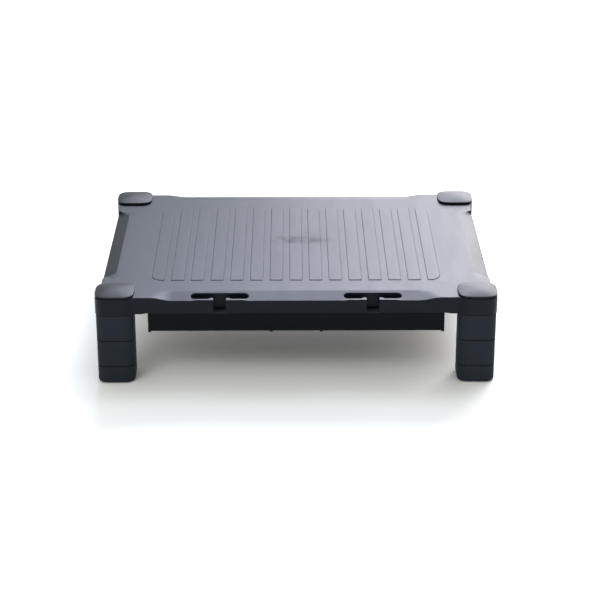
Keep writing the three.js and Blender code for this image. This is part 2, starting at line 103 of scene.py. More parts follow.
SOCKET_SIZE = 34.8
SPIGOT_SIZE = 34.0
SPIGOT_HEIGHT = 12.0
SPIGOT_BORE = SPIGOT_SIZE - 4
SOCKET_RADIUS = 6.5
PLUG_HOLE = 30.0
PLUG_SIZE = 29.2

SLAT_COUNT = 15
SLAT_PITCH = 21.62
SLAT_WIDTH = 14.4
SLAT_HALF_LENGTH = 113.2
SLAT_RADIUS = 1.2
FIELD_RADIUS = 12.8

# The planed-down edges of the deck. The long ones run out towards the corners along a curve.
FRONT_EDGE_START = 141.6
FRONT_EDGE_DROP = 3.7
BACK_EDGE_START = 144.6
BACK_EDGE_DROP = 2.6
LONG_EDGE_FULL = 133.0
LONG_EDGE_END = 138.0
LONG_EDGE_SPREAD = 18.0
LONG_EDGE_CURVE = 0.42
SIDE_EDGE_START = 198.3
SIDE_EDGE_DROP = 3.5
SIDE_EDGE_INNER = 92.5
SIDE_EDGE_OUTER = 106.5
SIDE_EDGE_WALL = 4.0

SLOT_X = 82.3
SLOT_Y = -152.5
SLOT_LENGTH = 62.0
SLOT_WIDTH = 10.6
STEM_WIDTH = 13.0
HOOK_REACH = 3.0
HOOK_RADIUS = 2.0
TONGUE_DROP = 2.6
TONGUE_BACK = -151.0

RIB_BOTTOM = 91.0
HALF_RIB = 1.0
DEEP_RIB_Y = 146.0
LONG_RIB_Y = (-68, 0, 68)
CROSS_RIB_X = (-118, -40, 40, 118)

# The drawer: a wide face in front of a narrower tray, whose lips slide in the runners.
FACE_X = 160.0
FACE_LOW = 57.8
FACE_HIGH = TRAY_HIGH.z - 4.5
FACE_THICKNESS = 2.5
SHELF_BACK = -142.0
TRAY_X = 151.6
TRAY_BOTTOM = 58.8
TRAY_FLOOR = 61.0
TRAY_TOP = 78.5
TRAY_WALL = 2.0
LIP_X = 156.6
NUB_X = (-158.5, -27, 27, 158.5)
EAR_Y = (103, 106)

RUNNER_OUTER_X = 159.4
RUNNER_WALL_X = 157.4
LEDGE_X = 152.2
FLANGE_X = 143.0
FRONT_STOP_Y = (-90.5, -87.5)
FRONT_STOP_BOTTOM = 80.5
BACK_STOP_FRONT = 108.3

# Under each runner screw: the boss it bites into, its pilot hole and the runner's hole.
BOSS_RADIUS = 3.6
PILOT_RADIUS = 1.5
HOLE_RADIUS = 1.7


# ---- Mesh helpers --------------------------------------------------------------------------


def smooth(t):
    """A soft step from 0 to 1."""
    t = min(1.0, max(0.0, t))
    return (1 - math.cos(math.pi * t)) / 2


def arc(cx, cy, radius, start, end, steps):
    """Points along a circular arc, angles in degrees, both ends included."""
    points = []
    for i in range(steps + 1):
        angle = math.radians(start + (end - start) * i / steps)
        points.append((cx + radius * math.cos(angle), cy + radius * math.sin(angle)))
    return points


def rounded_rectangle(width, depth, radius, cx=0.0, cy=0.0, steps=8, radii=None):
    """A closed counter-clockwise loop; radii gives the four corners their own sizes."""
    x, y = width / 2, depth / 2
    corners = ((1, -1, -90), (1, 1, 0), (-1, 1, 90), (-1, -1, 180))
    points = []
    for (sx, sy, start), r in zip(corners, radii or [radius] * 4):
        points += arc(cx + sx * (x - r), cy + sy * (y - r), r, start, start + 90, steps)
    return points


def inset(loop, distance):
    """The loop moved inwards by a small distance, point by point."""
    moved = []
    for i, here in enumerate(loop):
        before = Vector(loop[i - 1])
        after = Vector(loop[(i + 1) % len(loop)])
        point = Vector(here)
        into = (point - before).normalized()
        out_of = (after - point).normalized()
        normal = Vector((-(into.y + out_of.y), into.x + out_of.x)).normalized()
        cosine = max(0.5, normal.dot(Vector((-into.y, into.x))))
        moved.append(tuple(point + normal * (distance / cosine)))
    return moved


def new_object(name, bm):
    """Turns a mesh in millimetres into a linked object in metres, faces pointing out."""
    bmesh.ops.recalc_face_normals(bm, faces=bm.faces)
    bmesh.ops.scale(bm, vec=(MM, MM, MM), verts=bm.verts)
    mesh = bpy.data.meshes.new(name)
    bm.to_mesh(mesh)
    bm.free()
    thing = bpy.data.objects.new(name, mesh)
    bpy.context.scene.collection.objects.link(thing)
    return thing


def skin(bm, rings, close_start=True, close_end=True):
    """Joins a stack of rings of 3-D points, one ring to the next, and closes the ends."""
    rows = [[bm.verts.new(point) for point in ring] for ring in rings]
    count = len(rows[0])
    for low, high in zip(rows, rows[1:]):
        for i in range(count):
            j = (i + 1) % count
            bm.faces.new((low[i], low[j], high[j], high[i]))
    if close_start:
        bm.faces.new(reversed(rows[0]))
    if close_end:
        bm.faces.new(rows[-1])
    return rows


def square_rings(profile, cx=0.0, cy=0.0, steps=8):
    """Rings of rounded squares from (size, corner radius, height) rows."""
    return [
        [(x, y, z) for x, y in rounded_rectangle(size, size, radius, cx, cy, steps)]
        for size, radius, z in profile
    ]


def lofted_square(name, profile, cx=0.0, cy=0.0, steps=8):
    bm = bmesh.new()
    skin(bm, square_rings(profile, cx, cy, steps))
    return new_object(name, bm)


def prism(name, loop, low, high, flare=0.0):
    """A straight prism over a loop; flare widens its lowest edge, to chamfer a mouth."""
    rings = [[(x, y, low) for x, y in inset(loop, -flare)]]
    if flare:
        rings.append([(x, y, low + flare) for x, y in inset(loop, -flare)])
        rings.append([(x, y, low + 2 * flare) for x, y in loop])
    rings.append([(x, y, high) for x, y in loop])
    bm = bmesh.new()
    skin(bm, rings)
    return new_object(name, bm)


def bevelled_box(name, x, y, z, bevel=0.4):
    """A box over three (low, high) spans with all its edges rounded."""
    bm = bmesh.new()
    bmesh.ops.create_cube(bm, size=1.0)
    spans = (x, y, z)
    for vert in bm.verts:
        vert.co = [low + (c + 0.5) * (high - low) for c, (low, high) in zip(vert.co, spans)]
    if bevel:
        bmesh.ops.bevel(
            bm, geom=bm.edges[:], offset=bevel, segments=3, profile=0.5, affect="EDGES"
        )
    return new_object(name, bm)


def lathe(name, profile, cx, cy, steps=32):
    """A solid of revolution about a vertical axis from (radius, height) rows."""
    rings = []
    for radius, z in profile:
        rings.append([(x, y, z) for x, y in arc(cx, cy, radius, 0, 360, steps)[:-1]])
    bm = bmesh.new()
    skin(bm, rings)
    return new_object(name, bm)


def combine(target, tools, operation):
    """Applies an exact boolean with each tool in turn and deletes the tools."""
    for tool in tools:
        modifier = target.modifiers.new("boolean", "BOOLEAN")
        modifier.operation = operation
        modifier.solver = "EXACT"
        modifier.object = tool
        bpy.context.view_layer.update()
        depsgraph = bpy.context.evaluated_depsgraph_get()
        made = bpy.data.meshes.new_from_object(target.evaluated_get(depsgraph))
        target.modifiers.clear()
        old = target.data
        target.data = made
        bpy.data.meshes.remove(old)
        bpy.data.objects.remove(tool)
    return target


def finish_surface(thing, sharp_angle=40.0):
    """Smooth shading with creases kept, weighted so that flats stay flat."""
    bm = bmesh.new()
    bm.from_mesh(thing.data)
    bmesh.ops.remove_doubles(bm, verts=bm.verts, dist=1e-7)
    limit = math.radians(sharp_angle)
    for face in bm.faces:
        face.smooth = True
    for edge in bm.edges:
        edge.smooth = len(edge.link_faces) == 2 and edge.calc_face_angle(0.0) < limit
    bm.to_mesh(thing.data)
    bm.free()
    weighted = thing.modifiers.new("weighted_normals", "WEIGHTED_NORMAL")
    weighted.keep_sharp = True
    weighted.weight = 80
    return thing


def place(thing, body, nodes, material):
    """Gives a finished piece its material, its body and the frame nodes it stands for."""
    thing.data.materials.clear()
    thing.data.materials.append(material)
    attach(thing, body)
    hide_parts(*nodes)
    return thing


# ---- Materials -----------------------------------------------------------------------------


class Graph:
    """Small helper around a material's node tree."""

    def __init__(self, name):
        self.material = bpy.data.materials.new(name)
        self.material.use_nodes = True
        self.tree = self.material.node_tree
        self.shader = self.tree.nodes["Principled BSDF"]
        self.coordinates = self.node("ShaderNodeTexCoord").outputs["Object"]
        self.colour = None
        self.gloss = None

    def node(self, kind, **values):
        made = self.tree.nodes.new(kind)
        for key, value in values.items():
            setattr(made, key, value)
        return made

    def link(self, source, target):
        self.tree.links.new(source, target)

    def noise(self, scale, detail=2.0, roughness=0.5, stretch=None):
        """Noise that stays with the piece; stretch scales its three axes apart."""
        made = self.node("ShaderNodeTexNoise")
        made.inputs["Scale"].default_value = scale
        made.inputs["Detail"].default_value = detail
        made.inputs["Roughness"].default_value = roughness
        source = self.coordinates
        if stretch:
            mapping = self.node("ShaderNodeMapping")
            mapping.inputs["Scale"].default_value = stretch
            self.link(source, mapping.inputs["Vector"])
            source = mapping.outputs["Vector"]
        self.link(source, made.inputs["Vector"])
        return made.outputs["Fac"]

    def spot(self, centre, radii):
        """1 at a centre on the piece, fading to 0 at the given radii, in metres."""
        mapping = self.node("ShaderNodeMapping")
        mapping.inputs["Scale"].default_value = [1 / r for r in radii]
        mapping.inputs["Location"].default_value = [-c / r for c, r in zip(centre, radii)]
        self.link(self.coordinates, mapping.inputs["Vector"])
        made = self.node("ShaderNodeTexGradient", gradient_type="SPHERICAL")
        self.link(mapping.outputs["Vector"], made.inputs["Vector"])
        return made.outputs["Fac"]

    def ramp(self, source, low, high, out_low=0.0, out_high=1.0):
        """Stretches low to high over out_low to out_high, and clamps."""
        made = self.node("ShaderNodeMapRange", clamp=True)
        made.inputs["From Min"].default_value = low
        made.inputs["From Max"].default_value = high
        made.inputs["To Min"].default_value = out_low
        made.inputs["To Max"].default_value = out_high
        self.link(source, made.inputs["Value"])
        return made.outputs["Result"]

    def math(self, operation, first, second):
        made = self.node("ShaderNodeMath", operation=operation)
        for socket, value in zip(made.inputs, (first, second)):
            if isinstance(value, (int, float)):
                socket.default_value = value
            else:
                self.link(value, socket)
        return made.outputs["Value"]

    def mix(self, factor, first, second):
        """Blends two colours, each an (r, g, b) tuple or another node's output."""
        made = self.node("ShaderNodeMix", data_type="RGBA")
        self.link(factor, made.inputs["Factor"])
        colour_inputs = [s for s in made.inputs if s.type == "RGBA"]
        for socket, value in zip(colour_inputs, (first, second)):
            if isinstance(value, tuple):
                socket.default_value = (*value, 1.0)
            else:
                self.link(value, socket)
        return [s for s in made.outputs if s.type == "RGBA"][0]

    def bump(self, height, distance, strength, normal=None):
        made = self.node("ShaderNodeBump")
        made.inputs["Distance"].default_value = distance
        made.inputs["Strength"].default_value = strength
        self.link(height, made.inputs["Height"])
        if normal:
            self.link(normal, made.inputs["Normal"])
        return made.outputs["Normal"]


GLOSS_SPREAD = 0.025
# Depths of the grain and of the slow swell in the plastic's skin, in metres.
GRAIN_DEPTH = 0.00008
SWELL_DEPTH = 0.0004


def moulded_plastic(name, dark, light, roughness, gloss_level, grain=0.25, streaks=None):
    """Satin moulded plastic: eroded grain, slow colour drift and uneven gloss."""
    graph = Graph(name)
    drift = graph.ramp(graph.noise(9.0, 3.0), 0.3, 0.7)
    graph.colour = graph.mix(drift, dark, light)
    graph.link(graph.colour, graph.shader.inputs["Base Color"])
    patches = graph.noise(26.0, 4.0, 0.6, stretch=streaks)
    low_gloss, high_gloss = roughness - GLOSS_SPREAD, roughness + GLOSS_SPREAD
    graph.gloss = graph.ramp(patches, 0.25, 0.75, low_gloss, high_gloss)
    graph.link(graph.gloss, graph.shader.inputs["Roughness"])
    erosion = graph.noise(2600.0, 2.0, 0.7)
    swell = graph.bump(graph.noise(70.0, 1.0), SWELL_DEPTH, 0.03)
    graph.link(graph.bump(erosion, GRAIN_DEPTH, grain, swell), graph.shader.inputs["Normal"])
    graph.shader.inputs["Specular IOR Level"].default_value = gloss_level
    return graph


# The rubbed marks on the deck: their middle and how far they reach, in metres.
MARKS_CENTRE = (-0.001, 0.008, 0.099)
MARKS_REACH = (0.05, 0.014, 0.02)


def platform_plastic():
    """The deck's plastic, with faint lengthways streaks and rubbed marks near its middle."""
    graph = moulded_plastic(
        "charcoal_platform",
        (0.0020, 0.0046, 0.0082),
        (0.0026, 0.0052, 0.0090),
        roughness=0.42,
        gloss_level=0.15,
        streaks=(3.0, 0.5, 1.0),
    )
    marks = graph.math("MULTIPLY", graph.spot(MARKS_CENTRE, MARKS_REACH), 1.6)
    broken = graph.math("MULTIPLY", marks, graph.ramp(graph.noise(55.0, 3.0), 0.4, 0.6))
    rubbed = graph.math("ADD", graph.gloss, graph.math("MULTIPLY", broken, 0.2))
    graph.link(rubbed, graph.shader.inputs["Roughness"])
    return graph.material


def drawer_plastic():
    """Near-black plastic, with painted light: a dull grey along the drawer's top edge and shelf.
    """
    graph = moulded_plastic(
        "black_drawer", (0.0004, 0.0018, 0.0022), (0.0008, 0.0022, 0.0026), 0.5, 0.1
    )
    # Painted light: the top edge and shelf are lightened to a dull grey, broken up by noise, to
    # stand in for light falling through the T slots.
    painted_light_colour = (0.030, 0.032, 0.036)
    split = graph.node("ShaderNodeSeparateXYZ")
    graph.link(graph.coordinates, split.inputs["Vector"])
    top_edge = graph.ramp(split.outputs["Z"], 0.0785, 0.0791)
    light_breakup = graph.ramp(graph.noise(90.0, 3.0), 0.3, 0.6, 0.6, 1.0)
    painted_light_mask = graph.math("MULTIPLY", top_edge, light_breakup)
    with_painted_light = graph.mix(painted_light_mask, graph.colour, painted_light_colour)
    graph.link(with_painted_light, graph.shader.inputs["Base Color"])
    return graph.material


PLATFORM_PLASTIC = platform_plastic()
CAP_PLASTIC = moulded_plastic(
    "charcoal_cap", (0.011, 0.0125, 0.015), (0.014, 0.0155, 0.018), 0.42, 0.1
).material
RISER_PLASTIC = moulded_plastic(
    "charcoal_riser", (0.0160, 0.0200, 0.0265), (0.0190, 0.0235, 0.0305), 0.62, 0.06
).material
DRAWER_PLASTIC = drawer_plastic()
RUNNER_PLASTIC = moulded_plastic(
    "black_runner", (0.0020, 0.0022, 0.0024), (0.0030, 0.0032, 0.0034), 0.45, 0.15
).material
PAD_RUBBER = moulded_plastic(
    "pad_rubber", (0.004, 0.004, 0.005), (0.008, 0.008, 0.008), 0.85, 0.1, grain=0.6
).material


def zinc_steel():
    graph = Graph("zinc_screw")
    tone = graph.ramp(graph.noise(400.0, 3.0), 0.3, 0.7)
    graph.link(
        graph.mix(tone, (0.42, 0.43, 0.45), (0.55, 0.56, 0.57)),
        graph.shader.inputs["Base Color"],
    )
    graph.shader.inputs["Metallic"].default_value = 1.0
    scratches = graph.noise(900.0, 2.0, 0.6, stretch=(1.0, 1.0, 8.0))
    gloss = graph.ramp(scratches, 0.3, 0.7, 0.25, 0.45)
    graph.link(gloss, graph.shader.inputs["Roughness"])
    graph.link(graph.bump(scratches, 0.00003, 0.3), graph.shader.inputs["Normal"])
    return graph.material


SCREW_STEEL = zinc_steel()


# ---- Platform ------------------------------------------------------------------------------


def long_edge(y):
    """Where the planed front or back edge starts, and its drop at the skirt."""
    if y < 0:
        return FRONT_EDGE_START, FRONT_EDGE_DROP
    return BACK_EDGE_START, BACK_EDGE_DROP


def long_edge_drop(x, y):
    """How far the planed front or back edge has dropped at a place in the plan."""
    start, full_drop = long_edge(y)
    t = (abs(y) - start) / (SKIRT_Y - start)
    if t <= 0:
        return 0.0
    end = LONG_EDGE_END + LONG_EDGE_SPREAD * t**LONG_EDGE_CURVE
    return full_drop * t * smooth((end - abs(x)) / (end - LONG_EDGE_FULL))


def side_edge_drop(x, y):
    """The same for the planed side edges, which end in a short steep wall."""
    t = (abs(x) - SIDE_EDGE_START) / (SKIRT_X - SIDE_EDGE_START)
    if t <= 0:
        return 0.0
    end = SIDE_EDGE_INNER + (SIDE_EDGE_OUTER - SIDE_EDGE_INNER) * t
    wall = min(1.0, max(0.0, (end - abs(y)) / SIDE_EDGE_WALL))
    return SIDE_EDGE_DROP * t * wall


def on_tongue(x, y):
    """1 on the level strips between a T slot and the front skirt, fading to 0 around them."""
    from_middle = abs(abs(x) - SLOT_X)
    return smooth((SLOT_LENGTH / 2 - 1 - from_middle) / 5) * smooth((TONGUE_BACK - y) / 2.5)


def deck_drop(x, y):
    """How far the deck's skin lies below its flat middle."""
    drop = max(long_edge_drop(x, y), side_edge_drop(x, y))
    return drop + (TONGUE_DROP - drop) * on_tongue(x, y)


def hook_points(x, side):
    """The rounded hook on a tongue's tip, from the stem to the slot's front wall."""
    tip = x + side * STEM_WIDTH / 2
    wall = SLOT_Y - SLOT_WIDTH / 2
    centre = tip + side * HOOK_RADIUS
    start = 180 if side > 0 else 0
    points = arc(centre, wall + HOOK_REACH - HOOK_RADIUS, HOOK_RADIUS, start, 90, 6)
    steps = 6
    for i in range(1, steps + 1):
        t = i / steps
        points.append((centre + side * (1.0 + 3.5 * t), wall + HOOK_REACH * (1 - smooth(t))))
    return points


def tee_slot_path(x):
    """The deck outline's detour around a T slot, from left to right along the front edge."""
    radius = SLOT_WIDTH / 2
    half = SLOT_LENGTH / 2 - radius
    lip = 1.0
    left = x - STEM_WIDTH / 2
    right = x + STEM_WIDTH / 2
    path = arc(left - lip, -SKIRT_Y + lip, lip, -90, 0, 4)
    path += hook_points(x, -1)
    path += arc(x - half, SLOT_Y, radius, 270, 90, 14)
    path += arc(x + half, SLOT_Y, radius, 90, -90, 14)
    path += reversed(hook_points(x, 1))
    path += arc(right + lip, -SKIRT_Y + lip, lip, 180, 270, 4)
    return path


def tower_path():
    """From the front skirt round the front right tower to the right skirt."""
    tower_x = LEG_X + TOWER_SIZE / 2
    tower_y = LEG_Y + TOWER_SIZE / 2
    steps = 12
    path = []
    for i in range(steps + 1):
        t = i / steps
        y = -(SKIRT_Y + (tower_y - SKIRT_Y) * smooth(t))
        path.append((FRONT_BLEND_FROM + BLEND * t, y))
    path += arc(tower_x - TOWER_RADIUS, TOWER_RADIUS - tower_y, TOWER_RADIUS, -90, 0, 14)
    for i in range(steps + 1):
        t = i / steps
        x = tower_x + (SKIRT_X - tower_x) * smooth(t)
        path.append((x, -SIDE_BLEND_FROM - BLEND + BLEND * t))
    wall_steps = 5
    for i in range(wall_steps + 1):
        path.append((SKIRT_X, -SIDE_EDGE_OUTER + SIDE_EDGE_WALL * i / wall_steps))
    return path


def densify(loop, spacing):
    """Adds points along a loop's long straight runs."""
    dense = []
    for i, here in enumerate(loop):
        there = loop[(i + 1) % len(loop)]
        length = math.dist(here, there)
        parts = max(1, round(length / spacing))
        for k in range(parts):
            t = k / parts
            dense.append((here[0] + (there[0] - here[0]) * t, here[1] + (there[1] - here[1]) * t))
    return dense


def platform_outline():
    """Counter-clockwise plan of the platform with both T slots."""
    front = tee_slot_path(-SLOT_X) + tee_slot_path(SLOT_X)
    corner = tower_path()
    right_half = [*corner, *[(x, -y) for x, y in reversed(corner)]]
    left_half = [(-x, -y) for x, y in right_half]
    return densify([*front, *right_half, *left_half], 6.0)


def bottom_height(x, y):
    """Collars reach a little lower than the skirts between them."""
    step = 3.0
    along_front = smooth((abs(x) - 163) / step)
    along_side = smooth((abs(y) - 123) / step)
    low = along_front if abs(y) > 130 else along_side
    return SKIRT_BOTTOM + (COLLAR_BOTTOM - SKIRT_BOTTOM) * low


class DeckPlan:
    """Collects the deck's feature lines and points, then fills them with triangles."""

    def __init__(self):
        self.points = []
        self.heights = []
        self.edges = []

    def add_point(self, x, y, z):
        self.points.append(Vector((x, y)))
        self.heights.append(z)
        return len(self.points) - 1

    def add_line(self, line, closed=False, lift=0.0):
        ids = [self.add_point(x, y, DECK_TOP - deck_drop(x, y) + lift) for x, y in line]
        self.edges += list(zip(ids, ids[1:]))
        if closed:
            self.edges.append((ids[-1], ids[0]))
        return ids

    def fill(self, border):
        result = delaunay_2d_cdt(self.points, self.edges, [border], 0, 1e-4, True)
        verts, _, faces, origins, _, inside = result
        faces = [face for face, owners in zip(faces, inside) if owners]
        heights = []
        for place_2d, origin in zip(verts, origins):
            if origin:
                heights.append(self.heights[origin[0]])
            else:
                heights.append(DECK_TOP - deck_drop(*place_2d))
        return verts, heights, faces, origins


def add_slats(plan):
    """Fifteen raised slats with sloping sides, a fine groove around each foot."""
    shoulder = ((-0.2, 0.0), (-0.1, -0.07), (0.0, -0.07), (0.36, 0.42), (0.55, SLAT_HEIGHT))
    first = -(SLAT_COUNT - 1) / 2 * SLAT_PITCH
    keep_clear = []
    for i in range(SLAT_COUNT):
        x = first + i * SLAT_PITCH
        left = FIELD_RADIUS if i == 0 else SLAT_RADIUS
        right = FIELD_RADIUS if i == SLAT_COUNT - 1 else SLAT_RADIUS
        plan_loop = rounded_rectangle(
            SLAT_WIDTH, 2 * SLAT_HALF_LENGTH, 0, x, 0, 6, (right, right, left, left)
        )
        loop = densify(plan_loop, 12.0)
        for distance, lift in shoulder:
            plan.add_line(inset(loop, distance), closed=True, lift=lift)
        keep_clear.append((x - SLAT_WIDTH / 2, x + SLAT_WIDTH / 2))
    return keep_clear


def straight(start, end, count):
    """Evenly spaced points from one plan point to another."""
    (x0, y0), (x1, y1) = start, end
    steps = [i / count for i in range(count + 1)]
    return [(x0 + (x1 - x0) * t, y0 + (y1 - y0) * t) for t in steps]


def add_creases(plan):
    """Lines in the mesh where the deck bends, so that each bend stays crisp."""
    half = 0.5
    long_reach = LONG_EDGE_FULL - 1
    side_reach = 88.0
    for side in (-1, 1):
        start = long_edge(side)[0]
        for offset in (-half, half):
            y = side * (start + offset)
            plan.add_line(straight((-long_reach, y), (long_reach, y), 22))
            x = side * (SIDE_EDGE_START + offset)
            plan.add_line(straight((x, -side_reach), (x, side_reach), 14))
        rise = (SIDE_EDGE_OUTER - SIDE_EDGE_INNER) / (SKIRT_X - SIDE_EDGE_START)
        x0, x1 = SIDE_EDGE_START + 1.0, SKIRT_X - 1.2
        for end in (-1, 1):
            for shift in (0.0, SIDE_EDGE_WALL):
                y0 = SIDE_EDGE_INNER - shift + rise * (x0 - SIDE_EDGE_START)
                y1 = SIDE_EDGE_INNER - shift + rise * (x1 - SIDE_EDGE_START)
                plan.add_line(straight((side * x0, end * y0), (side * x1, end * y1), 6))


def add_fill_points(plan, slat_spans, outline):
    """Loose points: a coarse net on the flats and a fine one where the edges run out."""
    field = SLAT_HALF_LENGTH + 1.5

    def near_slat_edge(x, y):
        if abs(y) > field:
            return False
        if abs(abs(y) - SLAT_HALF_LENGTH) < 2:
            return True
        return any(abs(x - edge) < 1.6 for span in slat_spans for edge in span)

    def on_slat(x, y):
        return abs(y) < SLAT_HALF_LENGTH and any(a < x < b for a, b in slat_spans)

    def near_outline(x, y):
        return any((x - px) ** 2 + (y - py) ** 2 < 9 for px, py in outline)

    def outside(x, y):
        inside_skirt = abs(x) < SKIRT_X - 2.5 and abs(y) < SKIRT_Y - 2.5
        in_slot = abs(abs(x) - SLOT_X) < SLOT_LENGTH / 2 + 2 and y < SLOT_Y + SLOT_WIDTH / 2 + 2
        return not inside_skirt or in_slot

    def near_crease(x, y):
        on_front = abs(abs(y) - long_edge(y)[0]) < 1.5 and abs(x) < 134
        on_side = abs(abs(x) - SIDE_EDGE_START) < 1.5 and abs(y) < 90
        at_end = abs(x) > SIDE_EDGE_START and 86 < abs(y) < 108
        return on_front or on_side or at_end

    def scatter(xs, ys):
        for x in xs:
            for y in ys:
                if near_slat_edge(x, y) or outside(x, y) or near_crease(x, y):
                    continue
                if abs(x) > 160 or abs(y) > 140:
                    if near_outline(x, y):
                        continue
                lift = SLAT_HEIGHT if on_slat(x, y) else 0.0
                plan.add_point(x, y, DECK_TOP - deck_drop(x, y) + lift)

    def steps(low, high, count):
        return [low + (high - low) * i / count for i in range(count + 1)]

    # The whole deck first, then the planed edges: fine at their ends, coarse between.
    scatter(steps(-208, 208, 46), steps(-138, 140, 31))
    for side in (-1, 1):
        front = [side * y for y in steps(143.5, 160, 8)]
        scatter(steps(-170, -130, 20), front)
        scatter(steps(130, 170, 20), front)
        scatter(steps(-126, 126, 28), [side * y for y in steps(145, 159, 2)])


def platform_blank():
    """The platform as one solid block: deck skin, rounded rims, walls and a flat bottom."""
    outline = platform_outline()
    rim = 0.8
    foot = 0.5
    steps = 4
    plan = DeckPlan()
    inner = inset(outline, rim)
    border = plan.add_line(inner, closed=True)
    spans = add_slats(plan)
    add_creases(plan)
    add_fill_points(plan, spans, outline)
    verts, heights, faces, origins = plan.fill(border)

    bm = bmesh.new()
    made = [bm.verts.new((v.x, v.y, z)) for v, z in zip(verts, heights)]
    for face in faces:
        bm.faces.new([made[i] for i in face])
    of_input = {source: made[i] for i, sources in enumerate(origins) for source in sources}
    top_row = [of_input[i] for i in border]

    rows = [top_row]
    for k in range(steps - 1, -1, -1):
        angle = math.pi / 2 * k / steps
        loop = inset(outline, rim * (1 - math.cos(angle)))
        row = []
        for x, y in loop:
            z = DECK_TOP - deck_drop(x, y) - rim * (1 - math.sin(angle))
            row.append(bm.verts.new((x, y, z)))
        rows.append(row)
    for k in range(3):
        angle = math.pi / 2 * k / 2
        loop = inset(outline, foot * (1 - math.cos(angle)))
        row = []
        for (x, y), (ox, oy) in zip(loop, outline):
            z = bottom_height(ox, oy) + foot * (1 - math.sin(angle))
            row.append(bm.verts.new((x, y, z)))
        rows.append(row)
    for high, low in zip(rows, rows[1:]):
        for i in range(len(high)):
            j = (i + 1) % len(high)
            bm.faces.new((low[i], low[j], high[j], high[i]))

    lowest = rows[-1]
    loop = [(v.co.x, v.co.y) for v in lowest]
    whole = list(range(len(loop)))
    result = delaunay_2d_cdt([Vector(p) for p in loop], [], [whole], 0, 1e-5, True)
    back = {i: lowest[sources[0]] for i, sources in enumerate(result[3]) if sources}
    for face, owners in zip(result[2], result[5]):
        if owners:
            bm.faces.new([back[i] for i in reversed(face)])
    return new_object("platform_shell", bm)


def notched_loop(half_x, half_y, notch_x, notch_y, radius=2.0):
    """A rectangle whose four corners step in around the towers, with round inner corners."""
    quarter = []
    quarter += arc(notch_x - radius, -half_y + radius, radius, -90, 0, 4)
    quarter += arc(notch_x + radius, -notch_y - radius, radius, 180, 90, 4)
    quarter += arc(half_x - radius, -notch_y + radius, radius, -90, 0, 4)
    right = [*quarter, *[(x, -y) for x, y in reversed(quarter)]]
    return [*right, *[(-x, -y) for x, y in right]]


def platform_cutters():
    """What is hollow under the platform: the rim, the pockets between ribs, the sockets."""
    below = COLLAR_BOTTOM - 12
    notch_x = LEG_X - TOWER_SIZE / 2
    notch_y = LEG_Y - TOWER_SIZE / 2
    middle = notched_loop(SKIRT_X - WALL, DEEP_RIB_Y - HALF_RIB, notch_x, notch_y)
    cutters = [prism("hollow", middle, below, RIB_BOTTOM)]
    for side in (-1, 1):
        y = side * (DEEP_RIB_Y + HALF_RIB + SKIRT_Y - WALL) / 2
        depth = SKIRT_Y - WALL - DEEP_RIB_Y - HALF_RIB
        strip = rounded_rectangle(2 * notch_x, depth, 1.5, 0, y, 4)
        cutters.append(prism("strip", strip, below, RIM_UNDERSIDE))
        x = side * (SIDE_EDGE_START - 2 + SKIRT_X - WALL) / 2
        width = SKIRT_X - WALL - SIDE_EDGE_START + 2
        edge = rounded_rectangle(width, 2 * notch_y - 4, 1.5, x, 0, 4)
        cutters.append(prism("edge", edge, RIB_BOTTOM - 1, RIM_UNDERSIDE))
    columns = [-SIDE_EDGE_START + 2, *CROSS_RIB_X, SIDE_EDGE_START - 2]
    rows = [-FRONT_EDGE_START + 1, *LONG_RIB_Y, FRONT_EDGE_START - 1]
    for x0, x1 in zip(columns, columns[1:]):
        for y0, y1 in zip(rows, rows[1:]):
            reach_x = notch_x if max(abs(y0), abs(y1)) > notch_y else FAR
            low_x = max(x0 + HALF_RIB, -reach_x + 3)
            high_x = min(x1 - HALF_RIB, reach_x - 3)
            centre = ((low_x + high_x) / 2, (y0 + y1) / 2)
            loop = rounded_rectangle(high_x - low_x, y1 - y0 - 2 * HALF_RIB, 2.0, *centre, 4)
            cutters.append(prism("pocket", loop, RIB_BOTTOM - 1, PLATE_UNDERSIDE))
    for sx, sy in CORNERS.values():
        x, y = sx * LEG_X, sy * LEG_Y
        socket = rounded_rectangle(SOCKET_SIZE, SOCKET_SIZE, SOCKET_RADIUS, x, y, 6)
        cutters.append(prism("socket", socket, COLLAR_BOTTOM - 0.6, PLATE_UNDERSIDE, 0.5))
        hole = rounded_rectangle(PLUG_HOLE, PLUG_HOLE, 5, x, y, 6)
        cutters.append(prism("plug_hole", hole, PLATE_UNDERSIDE - 1, DECK_TOP + 1))
    return cutters


def screw_places():
    """Where each runner screw stands in the plan, by name."""
    places = {}
    for side in ("left", "right"):
        for spot in ("front", "middle", "back"):
            low, high = extent(f"runner_screw_{side}_{spot}")
            places[f"{side}_{spot}"] = ((low.x + high.x) / 2, (low.y + high.y) / 2)
    return places


def make_platform():
    """The whole moulding: the blank, hollowed out, with a drilled boss for each screw."""
    shell = combine(platform_blank(), platform_cutters(), "DIFFERENCE")
    top = PLATE_UNDERSIDE + 0.5
    boss_foot = RUNNER_HIGH.z + 0.3
    boss = [
        (BOSS_RADIUS + 0.3, top),
        (BOSS_RADIUS, 94.5),
        (BOSS_RADIUS, boss_foot + 0.3),
        (BOSS_RADIUS - 0.3, boss_foot),
    ]
    pilot = [(PILOT_RADIUS, 97), (PILOT_RADIUS, 86)]
    places = list(screw_places().values())
    combine(shell, [lathe("boss", boss, x, y, 24) for x, y in places], "UNION")
    combine(shell, [lathe("pilot", pilot, x, y, 16) for x, y in places], "DIFFERENCE")
    finish_surface(shell)
    place(shell, "stand", ["platform"], PLATFORM_PLASTIC)


# ---- Corner caps ---------------------------------------------------------------------------


def superellipse(size, power, z, cx, cy, steps=56):
    """A ring shaped between a circle (power 2) and a square (a high power)."""
    ring = []
    for i in range(steps):
        angle = 2 * math.pi * (i + 0.5) / steps
        c, s = math.cos(angle), math.sin(angle)
        reach = size / 2 * (abs(c) ** power + abs(s) ** power) ** (-1 / power)
        ring.append((cx + reach * c, cy + reach * s, z))
    return ring


